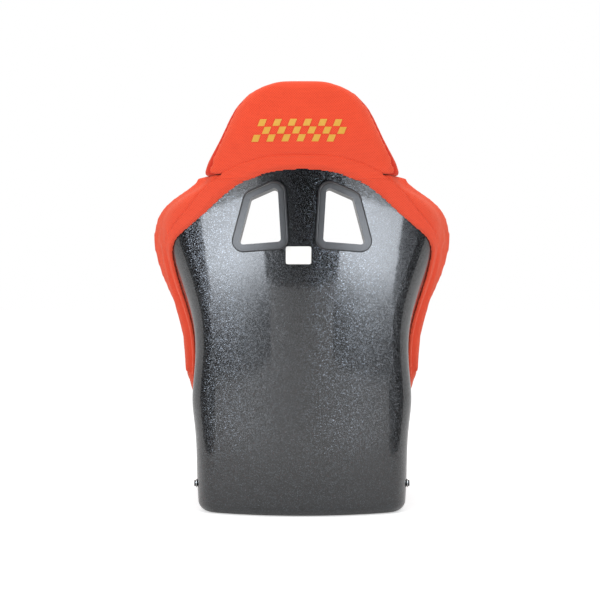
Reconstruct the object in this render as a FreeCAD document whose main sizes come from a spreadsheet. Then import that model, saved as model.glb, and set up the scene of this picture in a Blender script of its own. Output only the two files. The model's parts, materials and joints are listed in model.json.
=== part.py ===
import FreeCAD, Part
import math
import os

# Fixed-back racing seat. It faces +Y, so its back is towards -Y, and +Z is up.
# The origin is on the floor, under the middle of the base. All sizes are in millimetres.

Vector = FreeCAD.Vector
doc = FreeCAD.newDocument("racing_seat")
sheet = doc.addObject("Spreadsheet::Sheet", "Sizes")

# Level sections of the shell, from the floor up: height above the floor, y of the back's rearmost point,
# half the width where the corner ends, y of the side wall's front edge, and the side wall's outward lean.
STATIONS = {
    "base": (0, -196, 221, 30, 0.5),
    "mount": (60, -203, 224, 30, 1),
    "hip": (180, -213, 228, 30, 1.5),
    "lap": (300, -229, 227, -8, 3),
    "waist": (400, -253, 225, -62, 8),
    "ribs": (470, -275, 240, -98, 16),
    "chest": (540, -299, 262, -130, 20),
    "shoulder": (600, -320, 275, -162, 15),
    "collar": (652, -338, 244, -212, 12),
    "notch": (704, -354, 179, -282, 10),
    "nape": (754, -367, 155, -306, 8),
    "crown": (804, -377, 129, -322, 8),
    "cap": (838, -381, 106, -328, 8),
    "top": (861, -384, 72, -332, 8),
}

# The upholstery's hem on the outside of the shell in side view, from the head down to the front: y and height.
HEM = {
    "hem_head": (-374, 724),
    "hem_nape": (-338, 686),
    "hem_shoulder": (-272, 607),
    "hem_chest": (-196, 541),
    "hem_ribs": (-152, 470),
    "hem_waist": (-112, 395),
    "hem_lap": (-62, 318),
    "hem_hip": (-8, 268),
    "hem_thigh": (82, 240),
    "hem_arm": (174, 209),
    "hem_front": (262, 172),
}

SIZES = {
    # Shell
    "wall": 5,
    "back_radius": 480,
    "corner_low": 58,
    "corner_high": 96,
    "corner_head": 40,
    "bottom_radius": 24,
    "flat_front": 95,
    "lip_front": 266,
    "lip_height": 88,
    "arm_front_height": 205,
    "arm_corner": 34,
    "arm_mid_y": 150,
    "arm_mid_height": 259,
    "arm_rear_y": 70,
    "arm_rear_height": 279,
    # Clearances
    "seam_gap": 0.8,
    "fit_gap": 0.3,
    # Covers and rolls round the shell's edge
    "cover": 9,
    "roll_cover": 25,
    "back_pad": 34,
    "roll_pad": 40,
    "roll_depth": 26,
    "thigh_cover": 22,
    "thigh_pad": 38,
    "nose": 18,
    "lip_roll_depth": 26,
    "lip_roll_thick": 14,
    "band_width": 13,
    "band_thick": 8,
    # Headrest
    "head_cover": 15,
    "head_depth": 98,
    "head_ear": 14,
    "head_top": 874,
    "head_top_half": 46,
    "head_top_depth": 36,
    "shoulder_seam": 700,
    "side_seam": 478,
    # Back cushion
    "pad_half_low": 156,
    "pad_half_chest": 172,
    "pad_half_neck": 124,
    "pad_bottom": 46,
    "pad_front_radius": 900,
    "pad_thick": 42,
    "channel_depth": 6,
    "pad_channel_low": 150,
    "pad_channel_pitch": 95,
    # Seat cushion
    "cushion_half": 171,
    "cushion_rear": -146,
    "cushion_front": 219,
    "cushion_corner": 44,
    "cushion_thick": 54,
    "cushion_crown": 14,
    "channel_first": -60,
    "strip_thick": 2,
    "strip_wide": 50,
    "strip_long": 170,
    "strip_x": 85,
    "strip_rear": -100,
    # Harness openings and their trims, measured square to the back
    "harness_x": 90,
    "harness_z": 625,
    "harness_yaw": 9,
    "harness_pitch": 19.5,
    "trim_tall": 150,
    "trim_inner": 61,
    "trim_outer_low": 63,
    "trim_outer_high": 22,
    "trim_drop_low": -9,
    "trim_drop_high": 35,
    "trim_band": 15.5,
    "trim_proud": 7,
    "trim_round": 4,
    "trim_corner": 23,
    "bore_corner": 7,
    "tunnel_rear": 60,
    "tunnel_front": 120,
    "trim_collar": 2.5,
    "trim_reach": 27,
    "front_trim_band": 13,
    "front_trim_thick": 4,
    "screw_radius": 3.2,
    "screw_long": 12,
    # Crotch-strap slot
    "slot_y": 62,
    "slot_half": 38,
    "slot_deep": 24,
    "slot_flange": 9,
    "slot_flange_thick": 1.6,
    "slot_wall": 2,
    # Side mounts
    "mount_z": 60,
    "mount_rear_y": -118,
    "mount_pitch": 290,
    "collar_radius": 6.5,
    "collar_proud": 6,
    "collar_long": 22,
    "thread_radius": 3.4,
    "washer_radius": 9,
    "washer_thick": 1.6,
    "plate_thick": 3,
    "plate_tall": 44,
    "plate_end": 22,
}


def fill_sheet():
    rows = [(name, value) for name, value in SIZES.items()]
    for name, values in STATIONS.items():
        for part, value in zip(("height", "rear", "half", "edge", "lean"), values):
            rows.append((name + "_" + part, value))
    for name, values in HEM.items():
        rows += [(name + "_y", values[0]), (name + "_z", values[1])]
    for row, (name, value) in enumerate(rows, start=1):
        sheet.set("A%d" % row, name.replace("_", " "))
        sheet.set("B%d" % row, str(value))
        sheet.setAlias("B%d" % row, name)
    doc.recompute()


fill_sheet()


def size(name):
    return float(sheet.get(name))


WALL = size("wall")
GAP = size("fit_gap")
SEAM = size("seam_gap")
REACH = 350.0
WIDE = 500.0
BELOW = 30.0
THIGH_REAR = -150.0


class Level:
    """One level section of the shell, with its corner and side wall worked out."""

    def __init__(self, name):
        self.name = name
        self.z = size(name + "_height")
        self.rear = size(name + "_rear")
        self.half = size(name + "_half")
        self.edge = size(name + "_edge")
        self.corner = self.corner_radius()
        self.splay = math.radians(size(name + "_lean"))
        self.place_corner()

    def corner_radius(self):
        """The corner's radius grows from the lap to the shoulder and shrinks again towards the head."""
        low, high, head = size("corner_low"), size("corner_high"), size("corner_head")
        lap, shoulder, nape = size("lap_height"), size("shoulder_height"), size("nape_height")
        if self.z <= lap:
            return low
        if self.z <= shoulder:
            return low + (high - low) * smooth((self.z - lap) / (shoulder - lap))
        if self.z <= nape:
            return high + (head - high) * smooth((self.z - shoulder) / (nape - shoulder))
        return min(head, 0.48 * self.half)

    def place_corner(self):
        radius = size("back_radius")
        self.back_centre = Vector(0, self.rear + radius, self.z)
        self.along = Vector(math.sin(self.splay), math.cos(self.splay), 0)
        self.inward = Vector(-math.cos(self.splay), math.sin(self.splay), 0)
        start = Vector(self.half, self.rear + self.corner, self.z) + self.inward * self.corner
        offset = start - self.back_centre
        reach = radius - self.corner
        half_sum = offset.dot(self.along)
        root = math.sqrt(half_sum ** 2 - offset.dot(offset) + reach ** 2)
        self.corner_centre = start + self.along * (-half_sum - root)
        self.outward = (self.corner_centre - self.back_centre).normalize()

    def back_end(self, grow):
        return self.back_centre + self.outward * (size("back_radius") + grow)

    def back_point(self, share, grow):
        """A point of the back at a share of the way from its middle to the corner."""
        angle = math.atan2(self.outward.x, -self.outward.y) * share
        return self.back_centre + Vector(math.sin(angle), -math.cos(angle), 0) * (size("back_radius") + grow)

    def corner_mid(self, grow):
        middle = (self.outward - self.inward).normalize()
        return self.corner_centre + middle * (self.corner + grow)

    def side_start(self, grow):
        return self.corner_centre - self.inward * (self.corner + grow)

    def side_point(self, y, grow):
        start = self.side_start(grow)
        return start + self.along * ((y - start.y) / math.cos(self.splay))

    def back_mid(self, grow):
        return Vector(0, self.rear - grow, self.z)


def smooth(share):
    return share * share * (3 - 2 * share)


def mirrored(point):
    return Vector(-point.x, point.y, point.z)


def line(a, b):
    return Part.makeLine(a, b)


def arc(a, b, c):
    return Part.Arc(a, b, c).toShape()


LEVELS = [Level(name) for name in STATIONS]


def u_wire(level, grow):
    """The shell's level section: side wall, corner, back, corner and side wall, closed across the front."""
    front = level.side_point(REACH, grow)
    side, mid, back = level.side_start(grow), level.corner_mid(grow), level.back_end(grow)
    return Part.Wire([
        line(mirrored(front), mirrored(side)),
        arc(mirrored(side), mirrored(mid), mirrored(back)),
        arc(mirrored(back), level.back_mid(grow), back),
        arc(back, mid, side),
        line(side, front),
        line(front, mirrored(front)),
    ])


def tub_form(grow):
    """The space inside the walls' outer face, moved outwards by grow and carried on below the floor."""
    below = u_wire(LEVELS[0], grow)
    below.translate(Vector(0, 0, -BELOW))
    return Part.makeLoft([below] + [u_wire(level, grow) for level in LEVELS], True)


def extrude_side(points_wire, half_width):
    """A side-view outline carried across the seat."""
    face = Part.Face(points_wire)
    face.translate(Vector(-half_width, 0, 0))
    return face.extrude(Vector(2 * half_width, 0, 0))


def yz(y, z):
    return Vector(0, y, z)


def lip_radius():
    """Radius of the underside's curve up to the front lip."""
    run, height = size("lip_front") - size("flat_front"), size("lip_height")
    return (run ** 2 + height ** 2) / (2 * height)


def lip_arc(grow, reach=1.0):
    """The underside's rise to the front lip: a curve that leaves the flat base smoothly."""
    flat, lip, height = size("flat_front"), size("lip_front"), size("lip_height")
    radius = lip_radius()
    turn = math.atan2(lip - flat, radius - height) * reach
    centre = yz(flat, radius)
    return [centre + yz(math.sin(turn * k / 2), -math.cos(turn * k / 2)) * (radius - grow) for k in range(3)]


def lip_reach(grow, y):
    """How far round its curve the underside, moved inwards by grow, passes y. 1 is at the lip."""
    flat, lip, height = size("flat_front"), size("lip_front"), size("lip_height")
    turn = math.atan2(lip - flat, lip_radius() - height)
    return math.asin((y - flat) / (lip_radius() - grow)) / turn


def edge_points(grow):
    """The side wall's upper edge in side view, from the front arm up to the head, moved outwards by grow."""
    points = [
        yz(size("lip_front") - size("arm_corner"), size("arm_front_height") + size("arm_corner") * 0.8),
        yz(size("arm_mid_y"), size("arm_mid_height")),
        yz(size("arm_rear_y"), size("arm_rear_height")),
    ]
    points += [yz(level.edge, level.z) for level in LEVELS if level.z >= size("lap_height")]
    moved = []
    for index, point in enumerate(points):
        before = points[max(index - 1, 0)]
        after = points[min(index + 1, len(points) - 1)]
        way = (after - before).normalize()
        moved.append(point + Vector(0, way.z, -way.y) * grow)
    return moved


def side_outline(grow, floor_grow):
    """The shell's outline in side view: flat base, front lip, front arm, upper edge, and open space behind."""
    flat, rise, lip = lip_arc(-floor_grow)
    edge = edge_points(grow)
    curve = Part.BSplineCurve()
    curve.interpolate(edge)
    top = edge[-1]
    front_top = yz(lip.y + grow, size("arm_front_height"))
    corner_mid = (front_top + edge[0]) * 0.5 + yz(1, 1).normalize() * (size("arm_corner") * 0.22)
    back_top = yz(-REACH - 150, top.z)
    back_low = yz(-REACH - 150, flat.z)
    front_low = yz(lip.y + grow, lip.z)
    edges = [
        line(back_low, flat),
        arc(flat, rise, lip),
    ]
    if (front_low - lip).Length > 1e-6:
        edges.append(line(lip, front_low))
    edges += [
        line(front_low, front_top),
        arc(front_top, corner_mid, edge[0]),
        curve.toShape(),
        line(top, back_top),
        line(back_top, back_low),
    ]
    return Part.Wire(edges)



def round_bottom(form, radius, lowest):
    """Rounds the edges where the underside turns into the back and side walls."""
    picked = []
    for edge in form.Edges:
        box = edge.BoundBox
        low = box.ZMin < lowest + 0.01 and box.ZMax < size("lip_height") * 2
        across = box.YLength < 0.01 and box.XLength > size("mount_half")
        if low and not across:
            picked.append(edge)
    return form.makeFillet(radius, picked)


def tub_solid(grow, rim_grow):
    """The shell's volume without its hollow, with the walls grown outwards and the rim moved."""
    outline = extrude_side(side_outline(rim_grow, grow), WIDE)
    return round_bottom(tub_form(grow).common(outline), size("bottom_radius") + grow, -grow)


def hollow_solid(grow):
    """The space inside the shell: everything that lies grow or more inside its outer face."""
    flat, rise, end = lip_arc(grow, 1.15)
    outline = Part.Wire([
        line(yz(-REACH - 150, flat.z), flat),
        arc(flat, rise, end),
        line(end, yz(end.y, 1000)),
        line(yz(end.y, 1000), yz(-REACH - 150, 1000)),
        line(yz(-REACH - 150, 1000), yz(-REACH - 150, flat.z)),
    ])
    form = tub_form(-grow).common(extrude_side(outline, WIDE))
    return round_bottom(form, size("bottom_radius") - grow, grow)


def extrude_back(points_wire, near, far):
    """A rear-view outline, drawn at y = 0, carried from near to far along the seat's length."""
    face = Part.Face(points_wire)
    face.translate(Vector(0, near, 0))
    return face.extrude(Vector(0, far - near, 0))


def polygon(points):
    return Part.makePolygon(points + [points[0]])


def reach_x(form, y, z):
    """The form's outermost x on the level line through (y, z)."""
    hit = line(Vector(0, y, z), Vector(WIDE, y, z)).common(form)
    return hit.BoundBox.XMax


def reach_y(form, x, z):
    """The form's rearmost y on the level line through (x, z)."""
    hit = line(Vector(x, -WIDE, z), Vector(x, 0, z)).common(form)
    return hit.BoundBox.YMin


def pan_height(y):
    """Height of the underside of the pan at y."""
    flat, radius = size("flat_front"), lip_radius()
    if y <= flat:
        return 0.0
    return radius - math.sqrt(radius ** 2 - (y - flat) ** 2)


def edge_height(y):
    """Height of the side wall's upper edge at y, level behind the lap."""
    if y <= size("lap_edge"):
        return size("lap_height")
    curve = Part.BSplineCurve()
    curve.interpolate(edge_points(0))
    points = curve.discretize(200)
    arm_front = size("lip_front") - size("arm_corner")
    if y > arm_front:
        drop = size("arm_corner") * 0.8 * ((y - arm_front) / size("arm_corner")) ** 2
        return points[0].z - drop
    for near, far in zip(points, points[1:]):
        if far.y <= y <= near.y:
            return far.z + (near.z - far.z) * (y - far.y) / (near.y - far.y)
    return size("lap_height")


# Regions that the hem bounds


def hem_points(moved):
    points = [yz(size(name + "_y"), size(name + "_z")) for name in HEM]
    result = []
    for index, point in enumerate(points):
        before = points[max(index - 1, 0)]
        after = points[min(index + 1, len(points) - 1)]
        way = (after - before).normalize()
        result.append(point + Vector(0, -way.z, way.y) * moved)
    return result


def hem_curve(moved):
    curve = Part.BSplineCurve()
    curve.interpolate(hem_points(moved))
    return curve.toShape()


def bare_region(moved):
    """Everything behind and below the hem, with the hem moved forwards by the given distance."""
    points = hem_points(moved)
    front_low = yz(points[-1].y, -BELOW * 2)
    back_low = yz(-WIDE, -BELOW * 2)
    back_top = yz(-WIDE, points[0].z)
    outline = Part.Wire([
        hem_curve(moved),
        line(points[-1], front_low),
        line(front_low, back_low),
        line(back_low, back_top),
        line(back_top, points[0]),
    ])
    return extrude_side(outline, WIDE)


# Solids that the pieces are cut by

right_side = Part.makeBox(WIDE, 2 * WIDE, 3 * WIDE, Vector(0, -WIDE, -WIDE))
outer_form = tub_form(0)
tub = tub_solid(0, 0)
hollow = hollow_solid(WALL)
tub_right = tub.common(right_side)
tub_gap_right = tub_solid(GAP, GAP).common(right_side)
hollow_gap_right = hollow_solid(WALL + GAP).common(right_side)
room_right = tub_gap_right.cut(hollow_gap_right)
cover_cut = bare_region(size("band_width") + SEAM).common(right_side).cut(tub_right)


def harness_frame(side):
    """Placement of a harness opening: across the back, up it, and squarely out of it."""
    yaw, pitch = math.radians(size("harness_yaw")), math.radians(size("harness_pitch"))
    x, z = side * size("harness_x"), size("harness_z")
    across = Vector(math.cos(yaw), side * math.sin(yaw), 0)
    out = Vector(side * math.sin(yaw) * math.cos(pitch), -math.cos(yaw) * math.cos(pitch), -math.sin(pitch))
    up = out.cross(across)
    origin = Vector(x, reach_y(outer_form, x, z), z)
    return FreeCAD.Placement(FreeCAD.Matrix(
        across.x, up.x, out.x, origin.x,
        across.y, up.y, out.y, origin.y,
        across.z, up.z, out.z, origin.z,
        0, 0, 0, 1))


def trim_corners(side):
    """The four corners of a harness trim's outline, before they are rounded."""
    tall, inner = size("trim_tall") / 2, size("trim_inner")
    return [
        Vector(-side * inner, tall, 0),
        Vector(-side * inner, -tall, 0),
        Vector(side * size("trim_outer_low"), -tall + size("trim_drop_low"), 0),
        Vector(side * size("trim_outer_high"), tall - size("trim_drop_high"), 0),
    ]


def trim_wire(side, inset, corner):
    """The trapezoid of a harness trim, moved inwards by inset and with round corners."""
    wire = polygon(trim_corners(side)).makeOffset2D(-inset - corner, 2)
    return wire.makeOffset2D(corner, 0)


def level_shift(side, height):
    """Where a level line through the middle of a harness opening is, at a height above the opening's plane."""
    ahead = harness_frame(side).Rotation.inverted().multVec(Vector(0, 1, 0))
    return ahead * (height / ahead.z)


def trim_prism(side, inset, corner, low, high, level=False):
    """The trapezoid carried from low to high: squarely out of the back, or level through it as belts run."""
    face = Part.Face(trim_wire(side, inset, corner))
    if level:
        face.translate(level_shift(side, low))
        solid = face.extrude(level_shift(side, high) - level_shift(side, low))
    else:
        face.translate(Vector(0, 0, low))
        solid = face.extrude(Vector(0, 0, high - low))
    solid.Placement = harness_frame(side)
    return solid


def tunnel(side, clearance):
    """The level way through the back that the collar of a harness trim fills."""
    inset = size("trim_band") - size("trim_collar") - clearance
    corner = size("bore_corner") + size("trim_collar") + clearance
    return trim_prism(side, inset, corner, -size("tunnel_front"), size("tunnel_rear"), True)


def slot_prism(grow, low, high):
    """The crotch-strap slot's upright room, with round ends."""
    half, deep, y = size("slot_half") + grow, size("slot_deep") / 2 + grow, size("slot_y")
    radius = deep
    left, right = -half + radius, half - radius
    wire = Part.Wire([
        line(Vector(left, y - deep, low), Vector(right, y - deep, low)),
        arc(Vector(right, y - deep, low), Vector(half, y, low), Vector(right, y + deep, low)),
        line(Vector(right, y + deep, low), Vector(left, y + deep, low)),
        arc(Vector(left, y + deep, low), Vector(-half, y, low), Vector(left, y - deep, low)),
    ])
    return Part.Face(wire).extrude(Vector(0, 0, high - low))


def mount_points():
    """The four side-mount holes on the shell's outer face."""
    points = []
    for side in (-1, 1):
        for step in (0, 1):
            y = size("mount_rear_y") + step * size("mount_pitch")
            x = reach_x(outer_form, y, size("mount_z"))
            points.append((side, Vector(side * x, y, size("mount_z"))))
    return points


def along_x(side, point, radius, start, end):
    """A cylinder across the seat, from start to end, both counted outwards from the shell's outer face."""
    base = point + Vector(side * start, 0, 0)
    return Part.makeCylinder(radius, end - start, base, Vector(side, 0, 0))


# Pieces

pieces = {}


def add(name, shape):
    feature = doc.addObject("Part::Feature", name)
    feature.Label = name
    feature.Shape = shape
    feature.Placement = FreeCAD.Placement()
    pieces[name] = feature
    return feature


def make_shell():
    shape = tub.cut(hollow)
    cuts = [tunnel(side, GAP) for side in (-1, 1)]
    cuts.append(slot_prism(size("slot_wall") + GAP, -10, 40))
    for side, point in mount_points():
        cuts.append(along_x(side, point, size("collar_radius") + GAP, -30, 10))
    add("shell", shape.cut(cuts))


def c_wire(level):
    """Level section of the right padding: cover outside the shell, roll round its edge, pad inside it."""
    cover, pad = size("cover"), -WALL - size("back_pad")
    out_edge = level.side_point(level.edge, size("roll_cover"))
    in_edge = level.side_point(level.edge, -WALL - size("roll_pad"))
    tip = (out_edge + in_edge) * 0.5 + level.along * size("roll_depth")
    out_side, out_mid, out_back = level.side_start(cover), level.corner_mid(cover), level.back_end(cover)
    in_side, in_mid, in_back = level.side_start(pad), level.corner_mid(pad), level.back_end(pad)
    return Part.Wire([
        line(level.back_point(0.4, pad), level.back_point(0.4, cover)),
        arc(level.back_point(0.4, cover), level.back_point(0.7, cover), out_back),
        arc(out_back, out_mid, out_side),
        line(out_side, out_edge),
        arc(out_edge, tip, in_edge),
        line(in_edge, in_side),
        arc(in_side, in_mid, in_back),
        arc(in_back, level.back_point(0.7, pad), level.back_point(0.4, pad)),
    ])


def slab(low, high):
    return Part.makeBox(2 * WIDE, 2 * WIDE, high - low, Vector(-WIDE, -WIDE, low))


def add_pair(name, right):
    """A right-hand piece and its mirror image."""
    add(name + "_right", right)
    add(name + "_left", right.mirror(Vector(0, 0, 0), Vector(1, 0, 0)))


def mitre(ahead, gap):
    """The space ahead of (or behind) the seam where the side and thigh rolls meet."""
    corner = yz(size("lap_edge"), size("lap_height"))
    up = (yz(size("waist_edge"), size("waist_height")) - corner).normalize()
    forward = (yz(size("arm_rear_y"), size("arm_rear_height")) - corner).normalize()
    way = (up + forward).normalize()
    square = Vector(0, way.z, -way.y) * (1 if ahead else -1)
    near = corner + square * (gap / 2)
    far = square * (2 * WIDE)
    a, b = near + way * WIDE, near - way * WIDE
    return extrude_side(polygon([a, b, b + far, a + far]), WIDE)


def back_outline(grow):
    low, chest, neck = size("pad_half_low"), size("pad_half_chest"), size("pad_half_neck")
    top = size("shoulder_seam") - SEAM / 2 + grow
    right = [
        Vector(low + grow, 0, size("pad_bottom") - grow),
        Vector(low + grow, 0, size("waist_height")),
        Vector(chest + grow, 0, size("shoulder_height")),
        Vector(neck + grow, 0, top),
    ]
    return polygon(right + [mirrored(point) for point in reversed(right)])


def make_wings():
    levels = [level for level in LEVELS if size("mount_height") <= level.z <= size("notch_height")]
    pads = Part.makeLoft([c_wire(level) for level in levels], True)
    seam = size("shoulder_seam") - SEAM / 2
    back_region = extrude_back(back_outline(SEAM), -WIDE, WIDE).common(right_side).common(hollow)
    pads = pads.common(slab(0, seam)).cut([room_right, cover_cut, back_region])
    split = size("side_seam")
    add_pair("shoulder_bolster", pads.common(slab(split + SEAM / 2, seam)))
    add_pair("side_bolster", pads.common(slab(0, split - SEAM / 2)).cut(mitre(True, -SEAM)))


def hem_height(y):
    """Height at which the outside cover ends at y, above the band."""
    points = hem_curve(size("band_width") + SEAM).discretize(200)
    for near, far in zip(points, points[1:]):
        if near.y <= y <= far.y:
            return near.z + (far.z - near.z) * (y - near.y) / (far.y - near.y)
    return points[-1].z


def thigh_outline(y):
    """Upright section of a thigh roll astride the side wall: outer cover, roll over the edge, inner pad."""
    lip, gap = size("lip_front"), SEAM / 2
    at = min(y, lip - 1)
    edge = edge_height(at)
    low = min(hem_height(at), edge - 25)
    bottom = pan_height(at) + WALL + 6
    wall_top, wall_low = reach_x(outer_form, at, edge), reach_x(outer_form, at, low)
    wall_foot = reach_x(outer_form, at, bottom + size("bottom_radius"))
    out, inside = wall_top + size("thigh_cover"), wall_foot - WALL - size("thigh_pad")
    round_foot = size("bottom_radius") - WALL
    outline = [
        Vector(wall_low + size("cover"), y, low),
        Vector(out, y, edge),
        Vector((out + inside) / 2, y, edge + size("roll_depth")),
        Vector(inside, y, edge),
        Vector(inside, y, bottom),
        Vector(wall_foot - WALL - round_foot, y, bottom),
        Vector(wall_foot - WALL - gap, y, bottom + round_foot),
        Vector(wall_top - WALL - gap, y, edge - 30),
        Vector(wall_top + gap, y, edge - 30),
        Vector(wall_low + gap, y, low),
    ]
    return outline


def thigh_wire(outline):
    edges = [line(outline[0], outline[1]), arc(outline[1], outline[2], outline[3])]
    edges += [line(a, b) for a, b in zip(outline[3:], outline[4:] + outline[:1])]
    return Part.Wire(edges)


def make_thighs():
    lip, count = size("lip_front"), 10
    rows = [THIGH_REAR + (lip + 1.5 - THIGH_REAR) * k / count for k in range(count + 1)]
    pad = Part.makeLoft([thigh_wire(thigh_outline(y)) for y in rows], True)
    nose_rows = []
    for reach, drawn in ((1.5, 0), (size("nose") * 0.6, 3), (size("nose"), 9)):
        out = thigh_outline(lip + reach)
        top, inside, bottom = out[2].z - drawn, out[4].x + drawn, out[4].z + drawn
        low = [Vector(out[1].x - drawn, out[1].y, out[0].z + drawn), Vector(out[1].x - drawn, out[1].y, out[1].z - drawn)]
        nose_rows.append(Part.Wire([
            line(low[0], low[1]),
            arc(low[1], Vector(out[2].x, out[2].y, top), Vector(inside, out[3].y, out[3].z - drawn)),
            line(Vector(inside, out[3].y, out[3].z - drawn), Vector(inside, out[4].y, bottom)),
            line(Vector(inside, out[4].y, bottom), low[0]),
        ]))
    nose = Part.makeLoft(nose_rows, True)
    cuts = [mitre(False, -SEAM), plate_box(1, 0.8), room_right, cover_cut]
    for side, point in mount_points():
        if side > 0:
            cuts.append(along_x(side, point, size("collar_radius") + 1.5, -30, 0))
    add_pair("thigh_bolster", pad.cut(cuts).fuse(nose))


def make_lip_roll():
    lip, rear = size("lip_front"), size("cushion_front") + 5
    half = min(thigh_outline(y)[4].x for y in (rear, (rear + lip) / 2, lip)) - 2 * SEAM
    thick = size("lip_roll_thick")
    top_rear = yz(rear, pan_height(rear) + WALL + size("cushion_thick") * 0.8)
    tip = yz(lip + size("lip_roll_depth"), pan_height(lip) + 4)
    under = yz(rear + 22, pan_height(rear + 22) - thick)
    top_mid = (top_rear + tip) * 0.5 + yz(6, 17)
    low_mid = (tip + under) * 0.5 + yz(10, -12)
    foot = yz(rear, pan_height(rear) + WALL / 2)
    outline = Part.Wire([
        line(foot, top_rear),
        arc(top_rear, top_mid, tip),
        arc(tip, low_mid, under),
        line(under, foot),
    ])
    above = lip_arc(WALL + GAP, lip_reach(WALL + GAP, lip + GAP))
    below = lip_arc(-GAP, lip_reach(-GAP, lip + GAP))
    pan = Part.Wire([
        arc(above[0], above[1], above[2]),
        line(above[2], below[2]),
        arc(below[2], below[1], below[0]),
        line(below[0], above[0]),
    ])
    add("front_lip_roll", extrude_side(outline, half).cut(extrude_side(pan, WIDE)))


def head_wire(z, rear, half, depth):
    """Level section of the headrest: round back, round ends and a slightly hollow front."""
    end = half - 0.42 * depth
    sag = end ** 2 / (2 * size("back_radius"))
    ear = size("head_ear") * depth / size("head_depth")
    rear_end = rear + sag
    front = rear + depth
    front_end = front + ear
    middle = (rear_end + front_end) / 2
    points = [Vector(end, rear_end, z), Vector(half, middle, z), Vector(end, front_end, z)]
    return Part.Wire([
        arc(points[0], points[1], points[2]),
        arc(points[2], Vector(0, front, z), mirrored(points[2])),
        arc(mirrored(points[2]), mirrored(points[1]), mirrored(points[0])),
        arc(mirrored(points[0]), Vector(0, rear, z), points[0]),
    ])


def make_headrest():
    wires = []
    shares = {"notch": 1.0, "nape": 1.0, "crown": 0.96, "cap": 0.84, "top": 0.64}
    for level in LEVELS:
        if level.name in shares:
            depth = size("head_depth") * shares[level.name]
            rear = level.rear - size("cover") - 3
            z = size("shoulder_seam") if level.name == "notch" else level.z
            wires.append(head_wire(z, rear, level.half + size("head_cover"), depth))
    top = LEVELS[-1]
    rear = top.rear - size("cover") + 9
    wires.append(head_wire(size("head_top"), rear, size("head_top_half"), size("head_top_depth")))
    head = Part.makeLoft(wires, True).common(slab(size("shoulder_seam") + SEAM / 2, 1000))
    head = head.common(right_side).cut([room_right, cover_cut])
    head = head.fuse(head.mirror(Vector(0, 0, 0), Vector(1, 0, 0))).removeSplitter()
    low = yz(size("notch_edge") - 34, size("notch_height") - 20)
    high = yz(size("top_edge") - 38, size("head_top") + 20)
    behind = polygon([low, high, high + yz(-WIDE, 0), low + yz(-WIDE, 0)])
    sleeve_region = extrude_side(behind, WIDE)
    moved = [low + yz(SEAM, 0), high + yz(SEAM, 0)]
    before = polygon(moved + [moved[1] + yz(WIDE, 0), moved[0] + yz(WIDE, 0)])
    add("headrest_sleeve", head.common(sleeve_region))
    add("headrest_pad", head.common(extrude_side(before, WIDE)))


def make_bands():
    """The folded strips that end the covers on the shell's outside."""
    strip = bare_region(size("band_width")).cut(bare_region(0)).common(right_side)
    front = size("hem_front_y") - 2
    strip = strip.cut(Part.makeBox(2 * WIDE, WIDE, 2 * WIDE, Vector(-WIDE, front, -WIDE)))
    layer = tub_form(size("band_thick")).common(strip).cut(tub_gap_right)
    split = size("shoulder_seam") - 10
    top = layer.common(slab(split + SEAM / 2, 1000))
    add("hem_band_top", top.fuse(top.mirror(Vector(0, 0, 0), Vector(1, 0, 0))).removeSplitter())
    add_pair("hem_band", layer.common(slab(-BELOW, split - SEAM / 2)))


def make_back_cushion():
    low, step = size("pad_channel_low"), size("pad_channel_pitch") / 2
    rows = []
    for k in range(-3, 13):
        channel = k % 2 == 0 and 0 <= k <= 8
        end = k < -1 or k == 12
        rows.append((low + k * step, size("channel_depth") if channel else 11 if end else 0))
    wires = []
    half = size("pad_half_chest") + 40
    radius = size("pad_front_radius")
    for z, drawn in rows:
        y = reach_y(outer_form, 0, z) + WALL + size("pad_thick") - drawn
        side_y = y + half ** 2 / (2 * radius)
        left, right = Vector(-half, side_y, z), Vector(half, side_y, z)
        forward = Vector(0, 2 * WIDE, 0)
        wires.append(Part.Wire([
            arc(left, Vector(0, y, z), right),
            line(right, right + forward),
            line(right + forward, left + forward),
            line(left + forward, left),
        ]))
    before = Part.makeLoft(wires, True)
    region = extrude_back(back_outline(0), -WIDE, WIDE).common(right_side).common(hollow_gap_right)
    screws = [screw_shape(1, point, 0.3) for point in screw_points(1)]
    half = region.cut([before, tunnel(1, GAP), front_flange(1, 0.4)] + screws)
    add("back_cushion", half.fuse(half.mirror(Vector(0, 0, 0), Vector(1, 0, 0))).removeSplitter())


def front_depth():
    return size("pad_thick") + WALL - 4


def front_flange(side, grow):
    """The flange of a front harness trim, sunk a little into the cushion."""
    extra = size("front_trim_band") - size("trim_band")
    high = -front_depth() + grow
    low = -front_depth() - size("front_trim_thick") - 30 * (grow > 0)
    face = Part.Face(trim_wire(side, -extra - grow, size("bore_corner") + size("front_trim_band") / 2))
    shift = level_shift(side, -front_depth())
    face.translate(Vector(shift.x, shift.y, low))
    flange = face.extrude(Vector(0, 0, high - low))
    flange.Placement = harness_frame(side)
    return flange


def make_harness_trims():
    side, proud, reach = 1, size("trim_proud"), size("trim_reach")
    flange = trim_prism(side, 0, size("trim_corner"), -10, proud)
    out = harness_frame(side).Rotation.multVec(Vector(0, 0, 1))
    face = [f for f in flange.Faces if f.normalAt(0, 0).dot(out) > 0.999][0]
    flange = flange.makeFillet(size("trim_round"), face.Edges).cut(tub_gap_right)
    inset = size("trim_band") - size("trim_collar")
    corner = size("bore_corner") + size("trim_collar")
    bore = trim_prism(side, size("trim_band"), size("bore_corner"), -size("tunnel_front"), size("tunnel_rear"), True)
    collar = trim_prism(side, inset, corner, -reach, proud - 1, True)
    add_pair("harness_trim_rear", flange.fuse(collar).cut(bore).removeSplitter())
    flange = front_flange(side, 0)
    collar = trim_prism(side, inset, corner, -front_depth(), -reach - GAP, True)
    holes = [screw_shape(side, point, 0.2) for point in screw_points(side)]
    add_pair("harness_trim_front", flange.fuse(collar).cut([bore] + holes).removeSplitter())


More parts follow.
